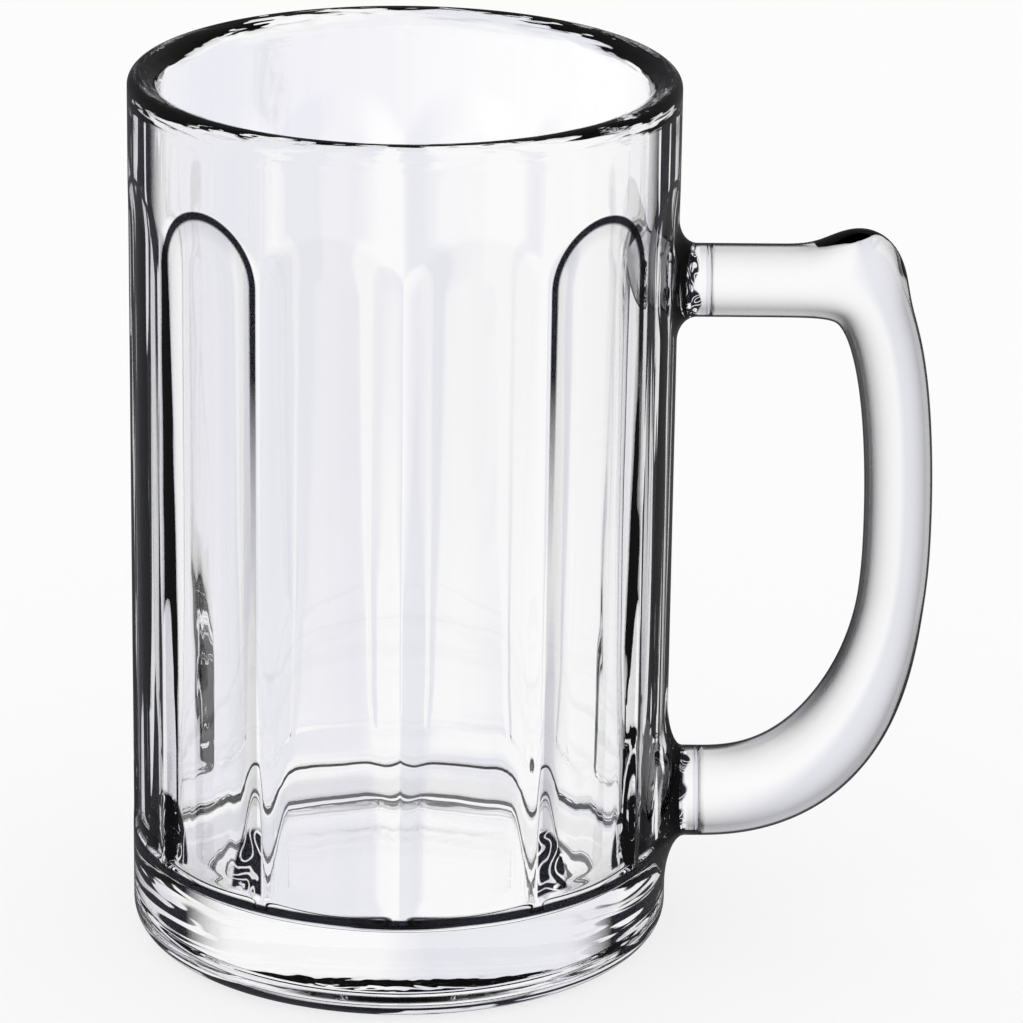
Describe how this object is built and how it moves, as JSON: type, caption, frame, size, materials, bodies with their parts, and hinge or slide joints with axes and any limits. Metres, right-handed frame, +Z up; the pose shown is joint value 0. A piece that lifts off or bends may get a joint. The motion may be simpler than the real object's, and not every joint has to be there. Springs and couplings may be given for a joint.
{
  "type": "glass beer mug",
  "caption": "Tall straight clear glass beer mug with twelve shallow arch-topped panels round the wall, a thick base and a fused glass bar handle.",
  "frame": {"origin": "on the tumbler's axis, on the surface that the mug stands on", "axes": "+Z up along the tumbler's axis; +X from the axis towards the handle; +Y completes a right-handed frame, and the mug mirrors across the X-Z plane"},
  "size_m": [0.1272, 0.086, 0.1414],
  "materials": {
    "clear_glass": "fire-polished clear soda-lime glass"
  },
  "bodies": {
    "root": {"tumbler": "clear_glass", "handle": "clear_glass"}
  },
  "joints": []
}
